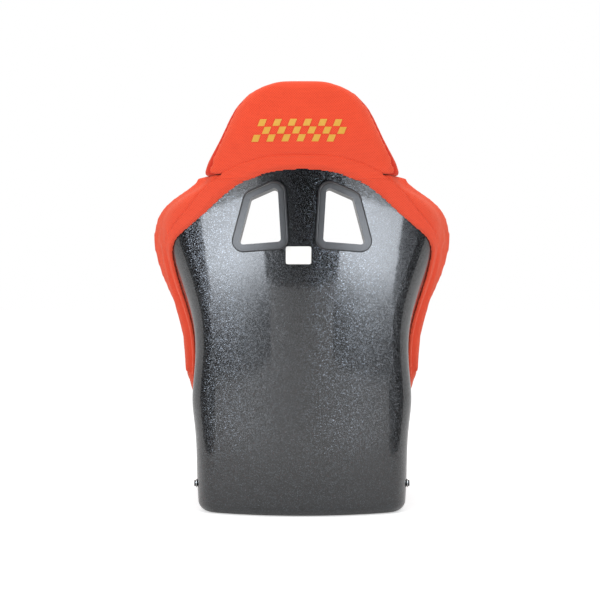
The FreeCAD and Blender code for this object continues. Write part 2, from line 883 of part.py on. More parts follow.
def screw_points(side):
    """Four screws at the corners of a front trim, in the middle of its band."""
    inset = size("trim_band") - size("front_trim_band") / 2
    shift = level_shift(side, -front_depth())
    corners = polygon(trim_corners(side)).makeOffset2D(-inset, 2).Vertexes
    return [corner.Point + Vector(shift.x, shift.y, 0) for corner in corners]


def screw_shape(side, point, grow):
    """A pan-head screw that points into the cushion."""
    top = -front_depth() - size("front_trim_thick")
    radius = size("screw_radius") + grow
    shank = Part.makeCylinder(radius / 2, size("screw_long"), point + Vector(0, 0, top))
    dome = Part.makeCylinder(radius, 1.6 + grow, point + Vector(0, 0, top - 1.0 - grow))
    shape = shank.fuse(dome)
    shape.Placement = harness_frame(side).multiply(shape.Placement)
    return shape


def make_screws():
    screws = [screw_shape(side, point, 0) for side in (-1, 1) for point in screw_points(side)]
    add("trim_screws", Part.makeCompound(screws))


def plate_box(side, grow):
    """A side-mount plate, laid flat against the inside of the shell's side wall."""
    rear, end = size("mount_rear_y"), size("plate_end")
    low_z, high_z = size("mount_z") - size("plate_tall") / 2, size("mount_z") + size("plate_tall") / 2
    rear_y, front_y = rear - end, rear + size("mount_pitch") + end
    corner = Vector(reach_x(outer_form, rear_y, low_z), rear_y, low_z)
    ahead = (Vector(reach_x(outer_form, front_y, low_z), front_y, low_z) - corner).normalize()
    up = (Vector(reach_x(outer_form, rear_y, high_z), rear_y, high_z) - corner).normalize()
    out = ahead.cross(up).normalize()
    long = front_y - rear_y
    start = corner - out * (WALL + GAP + size("plate_thick") + grow) - ahead * grow - up * grow
    thick = out * (size("plate_thick") + grow * 2)
    face = Part.Face(polygon([start, start + ahead * (long + 2 * grow), start + ahead * (long + 2 * grow)
                              + up * (size("plate_tall") + 2 * grow), start + up * (size("plate_tall") + 2 * grow)]))
    box = face.extrude(thick)
    return box if side > 0 else box.mirror(Vector(0, 0, 0), Vector(1, 0, 0))


def make_mounts():
    collars, washers = [], []
    for side, point in mount_points():
        proud, long = size("collar_proud"), size("collar_long")
        collar = along_x(side, point, size("collar_radius"), proud - long, proud)
        bore = along_x(side, point, size("thread_radius"), proud - long + 2, proud + 5)
        collars.append(collar.cut(bore))
        ring = along_x(side, point, size("washer_radius"), 3 * GAP, size("washer_thick") + 3 * GAP)
        washers.append(ring.cut(along_x(side, point, size("collar_radius") + GAP / 2, -30, 30)))
    add("mount_collars", Part.makeCompound(collars))
    add("mount_washers", Part.makeCompound(washers))
    holes = [along_x(side, point, size("collar_radius") + GAP / 2, -30, 30)
             for side, point in mount_points() if side > 0]
    add_pair("side_mount_plate", plate_box(1, 0).cut(holes + [room_right]))


def make_slot_trims():
    wall, flange = size("slot_wall"), size("slot_flange")
    thick = size("slot_flange_thick")
    body = slot_prism(wall, 0.5, WALL + thick)
    ring = slot_prism(flange, WALL + 0.05, WALL + thick)
    add("crotch_strap_grommet", body.fuse(ring).cut(slot_prism(0, -20, 60)).removeSplitter())


def cushion_base():
    return WALL + 2 * size("strip_thick") + 0.6


def cushion_wire(y, drawn, narrow):
    """Upright section of the seat cushion: flat below, full sides and a crowned top."""
    low = pan_height(y) + cushion_base()
    half = size("cushion_half") - narrow
    top = low + size("cushion_thick") - drawn
    shoulder = top - size("cushion_crown")
    side = [Vector(half - 5, y, low), Vector(half, y, (low + shoulder) / 2), Vector(half - 7, y, shoulder)]
    return Part.Wire([
        line(mirrored(side[0]), side[0]),
        arc(side[0], side[1], side[2]),
        arc(side[2], Vector(0, y, top), mirrored(side[2])),
        arc(mirrored(side[2]), mirrored(side[1]), mirrored(side[0])),
    ])


def make_seat_cushion():
    rear, front = size("cushion_rear"), size("cushion_front")
    first, depth = size("channel_first"), size("channel_depth")
    step = (front - first) / 6
    rows = []
    for k in range(-2, 7):
        channel = k in (0, 2, 4)
        drawn = {-2: 16, -1: 1, 6: 13}.get(k, depth if channel else 0)
        rows.append((first + k * step, drawn, 2 if channel else 0))
    loft = Part.makeLoft([cushion_wire(*row) for row in rows], True)
    half, corner = size("cushion_half") + 2, size("cushion_corner")
    bulge = 12
    right_rear = Vector(half - corner, rear + bulge, -20)
    turn = corner * math.sqrt(0.5)
    right_mid = Vector(half - corner + turn, rear + bulge + corner - turn, -20)
    right_end = Vector(half, rear + bulge + corner, -20)
    right_front = Vector(half, front + corner, -20)
    plan = Part.Wire([
        arc(mirrored(right_rear), Vector(0, rear, -20), right_rear),
        arc(right_rear, right_mid, right_end),
        line(right_end, right_front),
        line(right_front, mirrored(right_front)),
        line(mirrored(right_front), mirrored(right_end)),
        arc(mirrored(right_end), mirrored(right_mid), mirrored(right_rear)),
    ])
    prism = Part.Face(plan).extrude(Vector(0, 0, 300))
    sunk = slot_prism(size("slot_flange") + 0.4, cushion_top() - 3, 300)
    slot = slot_prism(size("slot_wall") + 0.4, -50, 300)
    add("seat_cushion", loft.common(prism).cut([slot, sunk]))


def cushion_top():
    return cushion_base() + size("cushion_thick")


def make_cushion_trims():
    wall, flange = size("slot_wall"), size("slot_flange")
    top = cushion_top() - 2.5
    ring = slot_prism(flange, top, top + size("slot_flange_thick") + 1)
    collar = slot_prism(wall, cushion_base() + 2, top + 1)
    add("cushion_slot_trim", ring.fuse(collar).cut(slot_prism(0, -20, 200)).removeSplitter())


def strips(low, name):
    """Two fastening strips along the seat, left and right of the slot."""
    made = []
    for side, word in ((-1, "left"), (1, "right")):
        box = doc.addObject("Part::Box", name + "_" + word)
        box.setExpression("Length", "Sizes.strip_wide")
        box.setExpression("Width", "Sizes.strip_long")
        box.setExpression("Height", "Sizes.strip_thick")
        place = "Sizes.strip_x * %d - Sizes.strip_wide / 2" % side
        box.setExpression("Placement.Base.x", place)
        box.setExpression("Placement.Base.y", "Sizes.strip_rear")
        box.setExpression("Placement.Base.z", low)
        made.append(box)
    group = doc.addObject("Part::Compound", name)
    group.Label = name
    group.Links = made
    pieces[name] = group


make_shell()
make_wings()
make_thighs()
make_lip_roll()
make_headrest()
make_bands()
make_back_cushion()
make_harness_trims()
make_screws()
make_mounts()
make_slot_trims()
make_seat_cushion()
make_cushion_trims()
strips("Sizes.wall + 0.2", "pan_hook_strips")
strips("Sizes.wall + 0.4 + Sizes.strip_thick", "cushion_loop_strips")
doc.recompute()

for item in doc.Objects:
    if "Invalid" in item.State or "Error" in item.State:
        raise RuntimeError("object failed: " + item.Label)
for name, piece in pieces.items():
    shape = piece.Shape
    if shape.isNull() or not shape.isValid() or not shape.Solids:
        raise RuntimeError("bad shape: " + name)

os.makedirs("parts", exist_ok=True)
for name, piece in pieces.items():
    piece.Shape.exportStep("parts/" + name + ".step")
    print(name, len(piece.Shape.Solids), round(piece.Shape.Volume / 1000, 1), "cm3")
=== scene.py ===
import json
import math

import bmesh
import bpy
from bpy.props import FloatProperty, IntProperty, PointerProperty, StringProperty
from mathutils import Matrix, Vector
from mathutils.bvhtree import BVHTree

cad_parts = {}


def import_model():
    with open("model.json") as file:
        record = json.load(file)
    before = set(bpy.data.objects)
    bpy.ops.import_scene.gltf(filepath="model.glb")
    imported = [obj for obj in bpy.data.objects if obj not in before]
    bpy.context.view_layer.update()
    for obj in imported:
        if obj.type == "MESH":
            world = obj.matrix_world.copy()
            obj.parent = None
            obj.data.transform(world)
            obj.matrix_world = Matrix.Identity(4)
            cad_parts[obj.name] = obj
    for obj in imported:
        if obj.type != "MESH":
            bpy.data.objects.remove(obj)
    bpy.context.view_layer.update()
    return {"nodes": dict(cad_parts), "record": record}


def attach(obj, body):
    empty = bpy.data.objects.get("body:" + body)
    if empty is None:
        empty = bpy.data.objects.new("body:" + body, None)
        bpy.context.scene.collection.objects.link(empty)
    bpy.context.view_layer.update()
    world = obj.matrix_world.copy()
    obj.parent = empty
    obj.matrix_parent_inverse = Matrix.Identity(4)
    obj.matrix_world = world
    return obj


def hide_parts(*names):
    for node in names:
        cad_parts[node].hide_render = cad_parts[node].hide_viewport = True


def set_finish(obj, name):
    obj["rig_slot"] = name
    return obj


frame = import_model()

bl_info = {
    "name": "Racing seat dressing",
    "version": (1, 0, 0),
    "blender": (4, 5, 0),
    "location": "3D View > Sidebar > Seat",
    "description": "Upholstery, gelcoat, trims and studio for a fixed-back racing seat",
    "category": "Object",
}

NODES = frame["nodes"]
SEAT, CUSHION = "seat", "cushion"
LINE_OF_SIGHT = Vector((0, 1, 0))  # from behind the seat, square to its back
BEHIND = -1.0  # a y well behind the seat, where such lines start
HOLD_REACH = 0.016  # a cover is drawn in where a neighbour is closer than this
HOLD_FADE = 0.012  # distance over which that hold lets go
HEM_GRID = 0.3  # grid of the thin hem bands, as a share of the covers' grid
SHELL_BACK = -0.230  # y of the shell's back that the camera's scale is taken at
METRES_PER_PIXEL = 0.00205  # that scale, in a picture of PICTURE_SIDE pixels
PICTURE_SIDE = 600
CARD_LIGHT = (0.86, 0.92, 1.0, 1)
WHITE = (1, 1, 1, 1)


# Sizes and colours that a user would change

class SeatColours(bpy.types.PropertyGroup):
    """Colours of the seat, written as sRGB hex values."""
    mesh_red: StringProperty(name="Mesh red", description="Face of the knitted air mesh", default="#E44829")
    mesh_hole: StringProperty(
        name="Mesh hole", description="Backing seen through the mesh", default="#B92A17")
    velour_red: StringProperty(name="Velour red", description="Pile of the inner cushions", default="#C92E1B")
    gelcoat_black: StringProperty(name="Gelcoat black", description="Ground of the shell", default="#060607")
    flake_silver: StringProperty(
        name="Flake silver", description="Metal flake in the shell", default="#6C7177")
    trim_grey: StringProperty(name="Trim grey", description="Moulded harness trims", default="#2A2B2D")
    stitch_gold: StringProperty(
        name="Stitch gold", description="Sewn checks behind the head", default="#E3A92B")


class SeatSizes(bpy.types.PropertyGroup):
    """Sizes of the upholstery and of the studio."""
    voxel: FloatProperty(
        name="Cloth grid", description="Spacing of the grid that the covers are made on",
        default=0.006, min=0.003, max=0.01, unit="LENGTH", precision=4)
    hole_pitch: FloatProperty(
        name="Mesh hole pitch", description="Distance from hole to hole in the air mesh",
        default=0.0032, min=0.001, max=0.02, unit="LENGTH", precision=4)
    flake: FloatProperty(
        name="Flake size", description="Width of one metal flake as drawn",
        default=0.0011, min=0.0005, max=0.01, unit="LENGTH", precision=4)
    lift: FloatProperty(
        name="Cover fullness", description="Most that a filled cover stands up from its cut form",
        default=0.006, min=0.0, max=0.02, unit="LENGTH", precision=4)
    pressure: FloatProperty(
        name="Filling pressure", description="Pressure in the covers", default=4.0, min=0.0)
    camera_distance: FloatProperty(
        name="Camera distance", description="From the camera to the shell's back",
        default=2.47, min=1.0, max=10.0, unit="LENGTH")
    camera_height: FloatProperty(
        name="Camera height", description="Height of the camera above the floor",
        default=0.452, min=0.0, max=3.0, unit="LENGTH")
    steps: IntProperty(name="Filling steps", description="Frames that the covers fill for", default=20, min=2)


# Small tools

def colours():
    return bpy.context.scene.seat_colours


def sizes():
    return bpy.context.scene.seat_sizes


def linear(text):
    """An sRGB hex value as linear red, green, blue and alpha."""
    parts = [int(text.lstrip("#")[i:i + 2], 16) / 255 for i in (0, 2, 4)]
    return tuple(c / 12.92 if c <= 0.04045 else ((c + 0.055) / 1.055) ** 2.4 for c in parts) + (1.0,)


def add(tree, kind, links=None, **settings):
    """Adds a node. Settings are its properties, and links fill its sockets with values or outputs."""
    made = tree.nodes.new(kind)
    for key, value in settings.items():
        setattr(made, key, value)
    for key, value in (links or {}).items():
        if isinstance(value, bpy.types.NodeSocket):
            tree.links.new(value, made.inputs[key])
        else:
            made.inputs[key].default_value = value
    return made


def new_material(name):
    """An empty node material with its output."""
    material = bpy.data.materials.get(name)
    if material:
        return material, None, None
    material = bpy.data.materials.new(name)
    material.use_nodes = True
    tree = material.node_tree
    tree.nodes.clear()
    return material, tree, add(tree, "ShaderNodeOutputMaterial")


def math_node(tree, operation, a, b=0.0):
    return add(tree, "ShaderNodeMath", {0: a, 1: b}, operation=operation).outputs[0]


def mixed(tree, factor, a, b):
    """Colour b over colour a by factor."""
    return add(tree, "ShaderNodeMix", {0: factor, 6: a, 7: b}, data_type="RGBA").outputs[2]


# Materials

def hole_pattern(tree, pitch):
    """1 in the middle of each hole of a staggered knit and 0 on the strands, from metres on the cloth."""
    place = add(tree, "ShaderNodeUVMap", uv_map="cloth").outputs[0]
    parts = add(tree, "ShaderNodeSeparateXYZ", {0: place})
    across = math_node(tree, "MULTIPLY", parts.outputs[0], 2 * math.pi / pitch)
    along = math_node(tree, "MULTIPLY", parts.outputs[1], 2 * math.pi / (pitch * 1.5))
    waves = math_node(tree, "MULTIPLY", math_node(tree, "COSINE", across), math_node(tree, "COSINE", along))
    ramp = add(tree, "ShaderNodeMapRange", {0: waves, 1: 0.1, 2: 0.75, 3: 0.0, 4: 1.0})
    return ramp.outputs[0]


def knitted_polyester_mesh():
    """Polyester spacer fabric, warp-knitted with open holes: soft, matt, and darker where the holes are."""
    material, tree, out = new_material("knitted_polyester_mesh")
    if tree is None:
        return material
    holes = hole_pattern(tree, sizes().hole_pitch)
    drift = add(tree, "ShaderNodeTexNoise", {"Scale": 9.0, "Detail": 3.0})
    deep = mixed(tree, drift.outputs[0], linear("#EE5230"), linear(colours().mesh_red))
    colour = mixed(tree, holes, deep, linear(colours().mesh_hole))
    fuzz = add(tree, "ShaderNodeTexNoise", {"Scale": 1800.0, "Detail": 2.0})
    height = math_node(tree, "SUBTRACT", math_node(tree, "MULTIPLY", fuzz.outputs[0], 0.3), holes)
    bump = add(tree, "ShaderNodeBump", {"Strength": 0.55, "Distance": 0.0009, "Height": height})
    roughness = add(tree, "ShaderNodeMapRange", {0: holes, 3: 0.78, 4: 0.95})
    shader = add(tree, "ShaderNodeBsdfPrincipled", {
        "Base Color": colour, "Roughness": roughness.outputs[0], "Normal": bump.outputs[0],
        "Sheen Weight": 0.45, "Sheen Roughness": 0.45, "Sheen Tint": linear("#FFB49A"),
        "Specular IOR Level": 0.25})
    tree.links.new(shader.outputs[0], out.inputs[0])
    return material


def woven_velour():
    """Polyester velour, woven and sheared: a short pile that lightens towards the edge of each roll."""
    material, tree, out = new_material("woven_velour")
    if tree is None:
        return material
    pile = add(tree, "ShaderNodeTexNoise", {"Scale": 1400.0, "Detail": 3.0, "Roughness": 0.6})
    drift = add(tree, "ShaderNodeTexNoise", {"Scale": 14.0, "Detail": 4.0})
    shade = mixed(tree, drift.outputs[0], linear("#B42413"), linear(colours().velour_red))
    colour = mixed(tree, math_node(tree, "MULTIPLY", pile.outputs[0], 0.35), shade, linear("#E8553C"))
    bump = add(tree, "ShaderNodeBump", {"Strength": 0.35, "Distance": 0.0006, "Height": pile.outputs[0]})
    shader = add(tree, "ShaderNodeBsdfPrincipled", {
        "Base Color": colour, "Roughness": 0.9, "Normal": bump.outputs[0],
        "Sheen Weight": 0.7, "Sheen Roughness": 0.35, "Sheen Tint": linear("#FF9C80"),
        "Specular IOR Level": 0.2})
    tree.links.new(shader.outputs[0], out.inputs[0])
    return material


def flake_gelcoat():
    """Polyester gelcoat with metal flake, sprayed and polished: black depth, bright points, wet gloss."""
    material, tree, out = new_material("flake_gelcoat")
    if tree is None:
        return material
    place = add(tree, "ShaderNodeTexCoord").outputs["Object"]
    cells = add(tree, "ShaderNodeTexVoronoi", {"Vector": place, "Scale": 1.0 / sizes().flake})
    chance = add(tree, "ShaderNodeSeparateColor", {0: cells.outputs["Color"]})
    lit = add(tree, "ShaderNodeMapRange", {0: chance.outputs[0], 1: 0.6, 2: 1.0, 3: 0.0, 4: 0.9})
    strong = math_node(tree, "POWER", lit.outputs[0], 1.4)
    tilt = add(tree, "ShaderNodeVectorMath", {0: cells.outputs["Color"], 1: (0.5, 0.5, 0.5)},
               operation="SUBTRACT")
    lean = add(tree, "ShaderNodeVectorMath", {0: tilt.outputs[0], "Scale": 0.38}, operation="SCALE")
    facing = add(tree, "ShaderNodeNewGeometry").outputs["Normal"]
    leant = add(tree, "ShaderNodeVectorMath", {0: facing, 1: lean.outputs[0]}, operation="ADD")
    flat = add(tree, "ShaderNodeVectorMath", {0: leant.outputs[0]}, operation="NORMALIZE")
    colour = mixed(tree, strong, linear(colours().gelcoat_black), linear(colours().flake_silver))
    shader = add(tree, "ShaderNodeBsdfPrincipled", {
        "Base Color": colour, "Metallic": lit.outputs[0], "Roughness": 0.24, "Normal": flat.outputs[0],
        "Coat Weight": 1.0, "Coat Roughness": 0.09, "Coat IOR": 1.5})
    tree.links.new(shader.outputs[0], out.inputs[0])
    return material


def moulded_abs():
    """ABS, injection moulded in a finely sparked tool: dark grey satin with a faint grain, and paler edges
    that are a painted highlight.
    """
    material, tree, out = new_material("moulded_abs")
    if tree is None:
        return material
    grain = add(tree, "ShaderNodeTexNoise", {"Scale": 1600.0, "Detail": 2.0})
    highlight_convexity = add(tree, "ShaderNodeNewGeometry").outputs["Pointiness"]
    # Painted highlight: the most convex edges are coloured a paler grey, standing in for the gloss that their
    # rounding catches.
    edge = add(tree, "ShaderNodeMapRange", {0: highlight_convexity, 1: 0.51, 2: 0.6, 3: 0.0, 4: 0.5})
    colour = mixed(tree, edge.outputs[0], linear(colours().trim_grey), linear("#5C5E62"))
    bump = add(tree, "ShaderNodeBump", {"Strength": 0.12, "Distance": 0.0004, "Height": grain.outputs[0]})
    roughness = add(tree, "ShaderNodeMapRange", {0: grain.outputs[0], 3: 0.26, 4: 0.38})
    shader = add(tree, "ShaderNodeBsdfPrincipled", {
        "Base Color": colour, "Roughness": roughness.outputs[0], "Normal": bump.outputs[0], "IOR": 1.52})
    tree.links.new(shader.outputs[0], out.inputs[0])
    return material


def blackened_steel():
    """Steel, turned and black-oxided: near black, with the tool's fine rings and a dull metal gleam."""
    material, tree, out = new_material("blackened_steel")
    if tree is None:
        return material
    blotch = add(tree, "ShaderNodeTexNoise", {"Scale": 260.0, "Detail": 4.0})
    colour = mixed(tree, blotch.outputs[0], linear("#1B1C1E"), linear("#3A3B3E"))
    bump = add(tree, "ShaderNodeBump", {"Strength": 0.1, "Distance": 0.0003, "Height": blotch.outputs[0]})
    shader = add(tree, "ShaderNodeBsdfPrincipled", {
        "Base Color": colour, "Metallic": 1.0, "Roughness": 0.42, "Normal": bump.outputs[0]})
    tree.links.new(shader.outputs[0], out.inputs[0])
    return material


def zinc_plated_steel():
    """Steel, stamped and zinc plated: pale grey with a soft crystalline mottle."""
    material, tree, out = new_material("zinc_plated_steel")
    if tree is None:
        return material
    crystal = add(tree, "ShaderNodeTexVoronoi", {"Scale": 420.0})
    tone = add(tree, "ShaderNodeSeparateColor", {0: crystal.outputs["Color"]})
    colour = mixed(tree, tone.outputs[0], linear("#A9ABAB"), linear("#CFD1D0"))
    roughness = add(tree, "ShaderNodeMapRange", {0: tone.outputs[1], 3: 0.28, 4: 0.45})
    shader = add(tree, "ShaderNodeBsdfPrincipled", {
        "Base Color": colour, "Metallic": 1.0, "Roughness": roughness.outputs[0]})
    tree.links.new(shader.outputs[0], out.inputs[0])
    return material


def nylon_hook_tape():
    """Nylon tape, woven with cut hooks: black, dull, and finely ribbed at about a millimetre."""
    material, tree, out = new_material("nylon_hook_tape")
    if tree is None:
        return material
    place = add(tree, "ShaderNodeTexCoord").outputs["Object"]
    tufts = add(tree, "ShaderNodeTexVoronoi", {"Vector": place, "Scale": 900.0})
    colour = mixed(tree, tufts.outputs["Distance"], linear("#26262A"), linear("#0E0E10"))
    bump = add(tree, "ShaderNodeBump", {
        "Strength": 0.6, "Distance": 0.0006, "Height": tufts.outputs["Distance"]})
    shader = add(tree, "ShaderNodeBsdfPrincipled", {
        "Base Color": colour, "Roughness": 0.85, "Normal": bump.outputs[0], "Specular IOR Level": 0.3})
    tree.links.new(shader.outputs[0], out.inputs[0])
    return material


def cut_vinyl_film():
    """Vinyl film, cut and stuck on: plain white, slightly creamy, with a soft gloss."""
    material, tree, out = new_material("cut_vinyl_film")
    if tree is None:
        return material
    drift = add(tree, "ShaderNodeTexNoise", {"Scale": 60.0, "Detail": 2.0})
    colour = mixed(tree, drift.outputs[0], linear("#E9E9E6"), linear("#F6F6F4"))
    shader = add(tree, "ShaderNodeBsdfPrincipled", {"Base Color": colour, "Roughness": 0.35, "IOR": 1.5})
    tree.links.new(shader.outputs[0], out.inputs[0])
    return material


def satin_thread(name, hex_value):
    """Polyester thread, twisted: a soft gloss along a fine slanting ply."""
    material, tree, out = new_material(name)
    if tree is None:
        return material
    place = add(tree, "ShaderNodeTexCoord").outputs["Object"]
    ply = add(tree, "ShaderNodeTexWave", {"Vector": place, "Scale": 500.0, "Distortion": 1.0})
    shade = math_node(tree, "MULTIPLY", ply.outputs["Fac"], 0.35)
    colour = mixed(tree, shade, linear(hex_value), linear("#7A4A12"))
    bump = add(tree, "ShaderNodeBump", {"Strength": 0.4, "Distance": 0.0004, "Height": ply.outputs["Fac"]})
    shader = add(tree, "ShaderNodeBsdfPrincipled", {
        "Base Color": colour, "Roughness": 0.45, "Normal": bump.outputs[0],
        "Sheen Weight": 0.3, "Sheen Roughness": 0.4})
    tree.links.new(shader.outputs[0], out.inputs[0])
    return material


# Covers

TREES = {}


def tree_of(name):
    """One search tree over a CAD node as it rests, with its box."""
    if name not in TREES:
        mesh = NODES[name].data
        points = [v.co.copy() for v in mesh.vertices]
        low = [min(p[i] for p in points) for i in range(3)]
        high = [max(p[i] for p in points) for i in range(3)]
        TREES[name] = (BVHTree.FromPolygons(points, [tuple(p.vertices) for p in mesh.polygons]), low, high)
    return TREES[name]


def beside(obj, name, reach):
    """Whether a CAD node's box comes within reach of the object's box."""
    _, low, high = tree_of(name)
    for i in range(3):
        values = [corner[i] for corner in obj.bound_box]
        if low[i] - reach > max(values) or high[i] + reach < min(values):
            return False
    return True


def distance_to(names, place, reach):
    """Distance from a place to the nearest of the named CAD nodes, at most reach."""
    best = reach
    for name in names:
        tree, low, high = tree_of(name)
        if all(low[i] - best < place[i] < high[i] + best for i in range(3)):
            hit = tree.find_nearest(place, best)
            if hit[0] is not None:
                best = min(best, hit[3])
    return best


def placed(name, mesh):
    """A new object with the given mesh, in the scene."""
    obj = bpy.data.objects.new(name, mesh)
    bpy.context.scene.collection.objects.link(obj)
    return obj


def mesh_from(name, form):
    """A mesh from a bmesh, which is freed."""
    data = bpy.data.meshes.new(name)
    form.to_mesh(data)
    form.free()
    return data


def joined(name, nodes):
    """One object with the meshes of several CAD nodes."""
    form = bmesh.new()
    for node in nodes:
        form.from_mesh(NODES[node].data)
    return placed(name, mesh_from(name, form))


def final_mesh(obj):
    """The object's mesh with its modifiers applied."""
    graph = bpy.context.evaluated_depsgraph_get()
    return bpy.data.meshes.new_from_object(obj.evaluated_get(graph))


def bake(obj):
    """Applies the object's modifiers."""
    mesh = final_mesh(obj)
    obj.modifiers.clear()
    obj.data = mesh


def lay_cloth_grid(mesh):
    """Metres on the cloth for every face corner, taken from the side that the face looks to."""
    layer = mesh.uv_layers.new(name="cloth") if "cloth" not in mesh.uv_layers else mesh.uv_layers["cloth"]
    for face in mesh.polygons:
        n = face.normal
        along = max(range(3), key=lambda i: abs(n[i]) * (1.0, 1.15, 1.0)[i])
        for corner in face.loop_indices:
            co = mesh.vertices[mesh.loops[corner].vertex_index].co
            layer.data[corner].uv = ((co.y, co.z), (co.x, co.z), (co.x, co.y))[along]


def smooth(obj, rounds):
    """Evens out the object's surface."""
    ease = obj.modifiers.new("ease", "SMOOTH")
    ease.factor, ease.iterations = 0.5, rounds


def fill_with_pressure(obj, held):
    """Lets a cover fill as cloth, at most as far as the fullness allows and less where it is held."""
    mesh = obj.data
    start = [v.co.copy() for v in mesh.vertices]
    group = obj.vertex_groups.new(name="held")
    for i, weight in enumerate(held):
        group.add([i], weight, "REPLACE")
    cloth = obj.modifiers.new("filling", "CLOTH").settings
    cloth.use_pressure = True
    cloth.uniform_pressure_force = sizes().pressure
    cloth.effector_weights.gravity = 0.0
    cloth.vertex_group_mass = "held"
    cloth.quality = 3
    cloth.tension_stiffness = 12
    cloth.compression_stiffness = 12
    cloth.bending_stiffness = 1.5
    for frame_number in range(1, sizes().steps + 1):
        bpy.context.scene.frame_set(frame_number)
    filled = final_mesh(obj)
    obj.modifiers.clear()
    obj.vertex_groups.clear()
    for vertex, old, new, weight in zip(mesh.vertices, start, filled.vertices, held):
        step = new.co - old
        most = sizes().lift * (1 - weight)
        if step.length > most:
            step *= most / step.length if step.length else 0
        vertex.co = old + step
    bpy.data.meshes.remove(filled)
    bpy.context.scene.frame_set(1)


def cover(name, nodes, body, material, grid=1.0, fill=True, grooves=None, meets=(), rounds=3):
    """A filled cover in the place of CAD solids: their form, drawn in where it meets its neighbours."""
    obj = joined(name, nodes)
    remesh = obj.modifiers.new("grid", "REMESH")
    remesh.mode = "VOXEL"
    remesh.voxel_size = sizes().voxel * grid
    remesh.adaptivity = 0.0
    smooth(obj, rounds)
    bake(obj)
    mesh = obj.data
    near = [n for n in NODES if n not in nodes and beside(obj, n, HOLD_REACH)] if fill or grooves else []
    held = []
    for vertex in mesh.vertices:
        depth = HOLD_REACH - distance_to(near, vertex.co, HOLD_REACH)
        held.append(max(0.0, min(1.0, depth / HOLD_FADE)))
    if fill:
        fill_with_pressure(obj, held)
    mesh.update()
    if grooves:
        press_grooves(mesh, grooves, held)
    close_seams(mesh, meets)
    smooth(obj, 2)
    round_out = obj.modifiers.new("round", "SUBSURF")
    round_out.levels = round_out.render_levels = 1
    bake(obj)
    obj.data.materials.append(material)
    obj.data.polygons.foreach_set("use_smooth", [True] * len(obj.data.polygons))
    lay_cloth_grid(obj.data)
    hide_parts(*nodes)
    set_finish(obj, next(s["material_slot"] for s in frame["record"]["subparts"] if s["node"] == nodes[0]))
    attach(obj, body)
    return obj


def close_seams(mesh, meets, reach=0.006, push=0.0016):
    """Lets a cover swell a little into the covers that it is sewn to, so that no light shows between them."""
    if not meets:
        return
    normals = [v.normal.copy() for v in mesh.vertices]
    for vertex, normal in zip(mesh.vertices, normals):
        near = 1 - distance_to(meets, vertex.co, reach) / reach
        vertex.co += normal * push * min(1.0, 1.6 * near)
    mesh.update()


def press_grooves(mesh, grooves, held):
    """Draws the cloth in along sewn channels.

    Each groove is an axis, a place on it, a width, a depth and the way that the grooved face looks.
    """
    normals = [v.normal.copy() for v in mesh.vertices]
    for vertex, normal, weight in zip(mesh.vertices, normals, held):
        for axis, place, width, depth, facing in grooves:
            if normal.dot(facing) < 0.3:
                continue
            share = math.exp(-((vertex.co[axis] - place) / width) ** 2)
            vertex.co -= normal * depth * share * (1 - weight)
    mesh.update()


def mirrored_cover(source, name, nodes, body):
    """The same cover for the other side."""
    obj = placed(name, source.data.copy())
    for vertex in obj.data.vertices:
        vertex.co.x = -vertex.co.x
    obj.data.flip_normals()
    lay_cloth_grid(obj.data)
    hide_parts(*nodes)
    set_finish(obj, source["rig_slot"])
    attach(obj, body)
    return obj


def dress(names, material, smooth_angle=35):
    """Gives CAD nodes their finish and smooth shading up to their sharp edges."""
    for name in names:
        obj = NODES[name]
        obj.data.materials.clear()
        obj.data.materials.append(material)
        for polygon in obj.data.polygons:
            polygon.material_index = 0
            polygon.use_smooth = True
        split = obj.modifiers.new("crisp", "EDGE_SPLIT")
        split.split_angle = math.radians(smooth_angle)


class SEAT_OT_shell(bpy.types.Operator):
    """Finish the moulded shell in black gelcoat with metal flake"""
    bl_idname = "seat.shell"
    bl_label = "Shell"

    def execute(self, context):
        dress(["shell"], flake_gelcoat(), 40)
        return {"FINISHED"}


class SEAT_OT_hard_trim(bpy.types.Operator):
    """Finish the harness trims, the slot trims, the screws, the collars and the side plates"""
    bl_idname = "seat.hard_trim"
    bl_label = "Trims and metal"

    def execute(self, context):
        dress([n for n in NODES if n.startswith("harness_trim")], moulded_abs())
        dress(["crotch_strap_grommet", "cushion_slot_trim"], moulded_abs())
        dress(["trim_screws", "mount_collars"], blackened_steel())
        dress(["side_mount_plate_right", "side_mount_plate_left"], blackened_steel())
        dress(["mount_washers"], zinc_plated_steel())
        dress(["pan_hook_strips", "cushion_loop_strips"], nylon_hook_tape())
        return {"FINISHED"}


class SEAT_OT_wings(bpy.types.Operator):
    """Fill the rolled shoulder, side and thigh bolsters, right and left"""
    bl_idname = "seat.wings"
    bl_label = "Bolsters"

    def execute(self, context):
        cloth = knitted_polyester_mesh()
        parts = ("shoulder_bolster", "side_bolster", "thigh_bolster")
        soft = ("headrest_sleeve", "headrest_pad", "hem_band_right", "back_cushion", "front_lip_roll")
        right = cover("wing_right", [p + "_right" for p in parts], SEAT, cloth, meets=soft)
        mirrored_cover(right, "wing_left", [p + "_left" for p in parts], SEAT)
        return {"FINISHED"}


class SEAT_OT_head(bpy.types.Operator):
    """Fill the headrest: the mesh sleeve behind and the pad in front"""
    bl_idname = "seat.head"
    bl_label = "Headrest"

    def execute(self, context):
        soft = ("shoulder_bolster_right", "shoulder_bolster_left",
                "hem_band_top", "hem_band_right", "hem_band_left")
        cover("sleeve_cover", ["headrest_sleeve"], SEAT, knitted_polyester_mesh(),
              meets=soft + ("headrest_pad",))
        cover("pad_cover", ["headrest_pad"], SEAT, woven_velour(),
              meets=soft + ("headrest_sleeve", "back_cushion"))
        return {"FINISHED"}


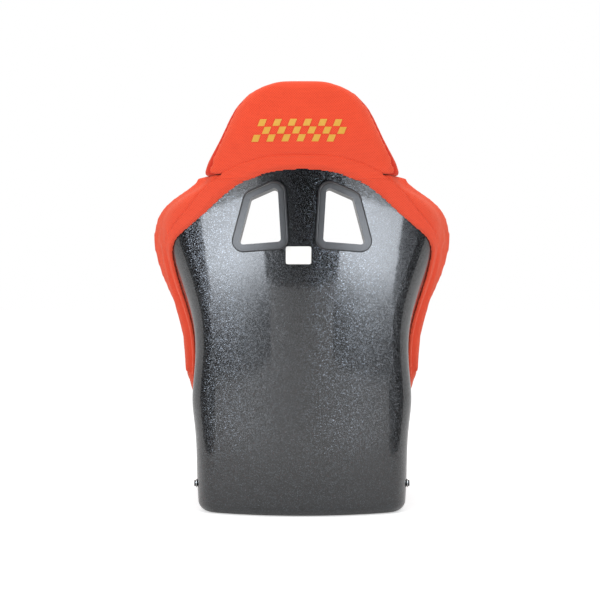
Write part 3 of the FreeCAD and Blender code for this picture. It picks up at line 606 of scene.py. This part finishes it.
class SEAT_OT_hems(bpy.types.Operator):
    """Sew the hem bands that close the covers on the shell's back"""
    bl_idname = "seat.hems"
    bl_label = "Hem bands"

    def execute(self, context):
        cloth = knitted_polyester_mesh()
        top = ("headrest_sleeve", "hem_band_right", "hem_band_left")
        sides = ("shoulder_bolster_right", "side_bolster_right", "hem_band_top")
        cover("hem_top", ["hem_band_top"], SEAT, cloth, HEM_GRID, False, meets=top, rounds=8)
        right = cover("hem_right", ["hem_band_right"], SEAT, cloth, HEM_GRID, False,
                      meets=sides, rounds=8)
        mirrored_cover(right, "hem_left", ["hem_band_left"], SEAT)
        return {"FINISHED"}


class SEAT_OT_cushions(bpy.types.Operator):
    """Fill the back cushion, the seat cushion and the roll over the front lip, with their sewn channels"""
    bl_idname = "seat.cushions"
    bl_label = "Cushions"

    def execute(self, context):
        pile = woven_velour()
        back = [(2, 0.150 + 0.095 * k, 0.008, 0.004, Vector((0, 1, 0))) for k in range(5)]
        seat = [(1, -0.060 + 0.093 * k, 0.008, 0.004, Vector((0, 0, 1))) for k in range(3)]
        soft = ("side_bolster_right", "side_bolster_left", "shoulder_bolster_right", "shoulder_bolster_left",
                "headrest_pad")
        thighs = ("thigh_bolster_right", "thigh_bolster_left")
        cover("back_cover", ["back_cushion"], SEAT, pile, grooves=back, meets=soft)
        cover("seat_cover", ["seat_cushion"], CUSHION, pile, grooves=seat)
        cover("lip_cover", ["front_lip_roll"], SEAT, knitted_polyester_mesh(), meets=thighs)
        return {"FINISHED"}


def thin_piece(name, mesh, modifier, thickness, material, slot):
    """A thin piece on the seat: its surface made solid, with a finish."""
    obj = placed(name, mesh)
    solid = obj.modifiers.new(modifier, "SOLIDIFY")
    solid.thickness, solid.offset = thickness, 0
    mesh.materials.append(material)
    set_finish(obj, slot)
    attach(obj, SEAT)


def patch(form, points, columns, rows):
    """Faces between the points of a grid that is given by column and row."""
    for j in range(rows):
        for i in range(columns):
            form.faces.new((points[i, j], points[i + 1, j], points[i + 1, j + 1], points[i, j + 1]))


class SEAT_OT_label(bpy.types.Operator):
    """Stick the blank label on the shell's back between the harness openings"""
    bl_idname = "seat.label"
    bl_label = "Blank label"

    def execute(self, context):
        shell = tree_of("shell")[0]
        middle, half, corner = (-0.007, 0.541), (0.0254, 0.0175), 0.003
        columns, rows = 12, 10
        sunk = Vector((0, 0.0002, 0))
        form = bmesh.new()
        points = {}
        for j in range(rows + 1):
            for i in range(columns + 1):
                x, z = half[0] * (2 * i / columns - 1), half[1] * (2 * j / rows - 1)
                over_x, over_z = abs(x) - (half[0] - corner), abs(z) - (half[1] - corner)
                length = math.hypot(over_x, over_z)
                if over_x > 0 and over_z > 0 and length > corner:
                    x = math.copysign(half[0] - corner + over_x / length * corner, x)
                    z = math.copysign(half[1] - corner + over_z / length * corner, z)
                hit = shell.ray_cast(Vector((middle[0] + x, BEHIND, middle[1] + z)), LINE_OF_SIGHT)[0]
                points[i, j] = form.verts.new(hit - sunk)
        patch(form, points, columns, rows)
        bmesh.ops.recalc_face_normals(form, faces=form.faces)
        thin_piece("blank_label", mesh_from("blank_label", form), "film", 0.0003, cut_vinyl_film(), "gelcoat")
        return {"FINISHED"}


class SEAT_OT_head_checks(bpy.types.Operator):
    """Sew a strip of slanted golden checks on the back of the headrest"""
    bl_idname = "seat.head_checks"
    bl_label = "Sewn checks"

    def execute(self, context):
        sleeve = bpy.data.objects["sleeve_cover"].data
        skin = BVHTree.FromPolygons(
            [v.co.copy() for v in sleeve.vertices], [tuple(f.vertices) for f in sleeve.polygons])
        columns, rows, wide, tall = 12, 3, 0.0145, 0.0145
        slant, low, gap, raised = 0.006, 0.757, 0.0008, 0.0006
        steps = 3
        form = bmesh.new()
        for column in range(columns):
            for row in range(rows):
                if (column + row) % 2:
                    continue
                points = {}
                for j in range(steps + 1):
                    for i in range(steps + 1):
                        u = gap + (wide - 2 * gap) * i / steps
                        v = gap + (tall - 2 * gap) * j / steps
                        z = low + tall * row + v
                        x = wide * (column - columns / 2) + u + slant * ((z - low) / tall - 2.0)
                        hit, normal, _, _ = skin.ray_cast(Vector((x, BEHIND, z)), LINE_OF_SIGHT)
                        points[i, j] = form.verts.new(hit + normal * raised)
                patch(form, points, steps, steps)
        thread = satin_thread("satin_stitch_thread", colours().stitch_gold)
        thin_piece("sewn_checks", mesh_from("sewn_checks", form), "thread", 0.0012, thread, "mesh_fabric")
        return {"FINISHED"}


class SEAT_OT_studio(bpy.types.Operator):
    """Set up the white floor and room, the soft lights, the stage cards and the camera"""
    bl_idname = "seat.studio"
    bl_label = "Studio"

    def execute(self, context):
        floor()
        world(context)
        lights()
        cards()
        camera(context)
        return {"FINISHED"}


def flat(name, corners):
    """A stage piece with one face."""
    mesh = bpy.data.meshes.new(name)
    mesh.from_pydata(corners, [], [(0, 1, 2, 3)])
    return placed(name, mesh)


def card(name, corners, strength=0.0, fade=None):
    """A flat stage card that shows only in the gloss of the shell.

    It dims over the two heights given as fade. With no strength it is black.
    """
    obj = flat(name, corners)
    material, tree, out = new_material(name)
    if tree is not None:
        glow = add(tree, "ShaderNodeEmission", {"Color": CARD_LIGHT, "Strength": strength})
        if fade:
            place = add(tree, "ShaderNodeTexCoord").outputs["Object"]
            height = add(tree, "ShaderNodeSeparateXYZ", {0: place}).outputs[2]
            ramp = add(tree, "ShaderNodeMapRange", {0: height, 1: fade[0], 2: fade[1], 3: 0.0, 4: strength},
                       interpolation_type="SMOOTHSTEP")
            tree.links.new(ramp.outputs[0], glow.inputs["Strength"])
        tree.links.new(glow.outputs[0], out.inputs[0])
    obj.data.materials.append(material)
    obj.visible_camera = obj.visible_diffuse = obj.visible_shadow = obj.visible_transmission = False


def cards():
    """Bright cards beside the back, a dark one behind its middle and dark ones out to the sides."""
    for side, name in ((-1, "left"), (1, "right")):
        inner, outer, edge = side * 0.20, side * 0.56, side * 1.0
        card("bright_card_" + name, [
            (inner, -0.66, 0.10), (outer, -0.50, 0.10), (outer, -0.50, 0.43), (inner, -0.66, 0.47)],
            strength=9.0, fade=(0.12, 0.30))
        card("dark_card_" + name, [
            (outer, -0.50, 0.0), (edge, -0.20, 0.0), (edge, -0.20, 1.1), (outer, -0.50, 1.1)])
    card("dark_card", [(-0.20, -0.60, 0.24), (0.20, -0.60, 0.24), (0.20, -0.60, 0.75), (-0.20, -0.60, 0.75)])


def floor():
    """White paper that runs out of sight. The camera sees it white, apart from the seat's shadow."""
    material, tree, out = new_material("matt_paper")
    if tree is not None:
        rays = add(tree, "ShaderNodeLightPath")
        paper = add(tree, "ShaderNodeBsdfDiffuse", {"Color": (0.85, 0.85, 0.85, 1)})
        white = add(tree, "ShaderNodeEmission", {"Color": WHITE, "Strength": 0.5})
        both = add(tree, "ShaderNodeAddShader", {0: paper.outputs[0], 1: white.outputs[0]})
        mix = add(tree, "ShaderNodeMixShader", {
            0: rays.outputs["Is Camera Ray"], 1: paper.outputs[0], 2: both.outputs[0]})
        tree.links.new(mix.outputs[0], out.inputs[0])
    far = 60.0
    sheet = flat("floor", [(-far, -far, 0), (far, -far, 0), (far, far, 0), (-far, far, 0)])
    sheet.location.z = -0.0005
    sheet.data.materials.append(material)


def world(context):
    """A white room: full white to the camera, in gloss and through glass, and softer as light."""
    made = bpy.data.worlds.new("studio")
    context.scene.world = made
    made.use_nodes = True
    tree = made.node_tree
    tree.nodes.clear()
    rays = add(tree, "ShaderNodeLightPath").outputs
    seen = add(tree, "ShaderNodeBackground", {"Color": WHITE, "Strength": 1.0})
    room = add(tree, "ShaderNodeBackground", {"Color": WHITE, "Strength": 0.62})
    mirrored = math_node(tree, "MAXIMUM", rays["Is Glossy Ray"], rays["Is Transmission Ray"])
    direct = math_node(tree, "MAXIMUM", rays["Is Camera Ray"], mirrored)
    mix = add(tree, "ShaderNodeMixShader", {0: direct, 1: room.outputs[0], 2: seen.outputs[0]})
    end = add(tree, "ShaderNodeOutputWorld")
    tree.links.new(mix.outputs[0], end.inputs[0])


def area_light(name, place, aim, width, height, power):
    """A soft rectangular lamp that points at a place."""
    data = bpy.data.lights.new(name, "AREA")
    data.shape, data.size, data.size_y, data.energy = "RECTANGLE", width, height, power
    obj = placed(name, data)
    obj.location = place
    obj.rotation_euler = (Vector(aim) - Vector(place)).to_track_quat("-Z", "Y").to_euler()


def lights():
    """Two strips behind the seat, left a little stronger, and a large soft one above it."""
    area_light("strip_left", (-1.6, -1.7, 1.1), (0, -0.2, 0.5), 0.6, 1.3, 20)
    area_light("strip_right", (1.6, -1.7, 1.1), (0, -0.2, 0.5), 0.6, 1.3, 16)
    area_light("overhead", (0, -0.4, 2.6), (0, -0.1, 0.4), 1.6, 1.6, 24)


def camera(context):
    """A level camera square to the shell's back, at the photograph's scale."""
    data = bpy.data.cameras.new("camera")
    obj = placed("camera", data)
    distance = sizes().camera_distance
    obj.location = (-0.004, SHELL_BACK - distance, sizes().camera_height)
    obj.rotation_euler = (math.radians(90), 0, 0)
    data.sensor_width = 36.0
    data.lens = data.sensor_width * distance / (PICTURE_SIDE * METRES_PER_PIXEL)
    data.clip_end = 50
    context.scene.camera = obj
    context.scene.view_settings.view_transform = "Standard"


class SEAT_PT_panel(bpy.types.Panel):
    """Lists the pieces of the seat"""
    bl_label = "Racing seat"
    bl_space_type = "VIEW_3D"
    bl_region_type = "UI"
    bl_category = "Seat"

    def draw(self, context):
        column = self.layout.column()
        for operator in OPERATORS:
            column.operator(operator.bl_idname)
        for group in (context.scene.seat_colours, context.scene.seat_sizes):
            for key in group.__annotations__:
                column.prop(group, key)


OPERATORS = (SEAT_OT_shell, SEAT_OT_hard_trim, SEAT_OT_wings, SEAT_OT_head, SEAT_OT_hems, SEAT_OT_cushions,
             SEAT_OT_label, SEAT_OT_head_checks, SEAT_OT_studio)
CLASSES = (SeatColours, SeatSizes) + OPERATORS + (SEAT_PT_panel,)


def register():
    """Registers the classes and hangs the colours and sizes on the scene."""
    for each in CLASSES:
        bpy.utils.register_class(each)
    bpy.types.Scene.seat_colours = PointerProperty(type=SeatColours)
    bpy.types.Scene.seat_sizes = PointerProperty(type=SeatSizes)


def unregister():
    del bpy.types.Scene.seat_sizes
    del bpy.types.Scene.seat_colours
    for each in reversed(CLASSES):
        bpy.utils.unregister_class(each)


def main():
    """Builds the seat's finish and the studio."""
    register()
    bpy.ops.seat.shell()
    bpy.ops.seat.hard_trim()
    bpy.ops.seat.wings()
    bpy.ops.seat.head()
    bpy.ops.seat.hems()
    bpy.ops.seat.cushions()
    bpy.ops.seat.label()
    bpy.ops.seat.head_checks()
    bpy.ops.seat.studio()


if __name__ == "__main__":
    main()
